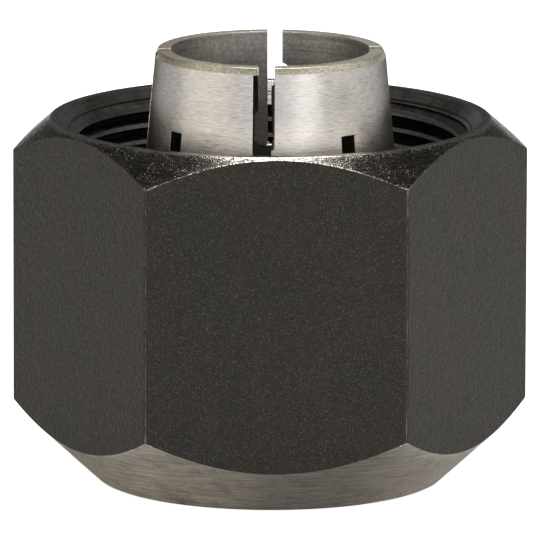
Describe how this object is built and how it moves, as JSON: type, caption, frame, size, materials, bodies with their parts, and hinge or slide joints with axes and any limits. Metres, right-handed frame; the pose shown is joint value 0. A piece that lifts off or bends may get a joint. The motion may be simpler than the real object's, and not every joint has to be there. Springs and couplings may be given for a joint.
{
  "type": "router collet with clamping nut",
  "caption": "Slotted steel collet for a cutter shank, held captive in a black hexagonal clamping nut with an internal spindle thread.",
  "frame": {"origin": "centre of the nut's nose face, which the part stands on", "axes": "+Z along the common axis of nut and collet, from the nose to the threaded mouth; -Y out of one hexagon flat"},
  "size_m": [0.031, 0.027, 0.0262],
  "materials": {
    "blackened_steel": "black oxide",
    "ground_steel": "ground",
    "spring_steel": "phosphated"
  },
  "bodies": {
    "nut_body": {"clamping_nut": "blackened_steel", "retaining_ring": "spring_steel"},
    "collet_body": {"collet": "ground_steel"}
  },
  "joints": [
    {"name": "collet_spin", "type": "hinge", "parent": "nut_body", "child": "collet_body", "pos_m": [0, 0, 0.008], "axis": [0, 0, 1], "continuous": true}
  ]
}
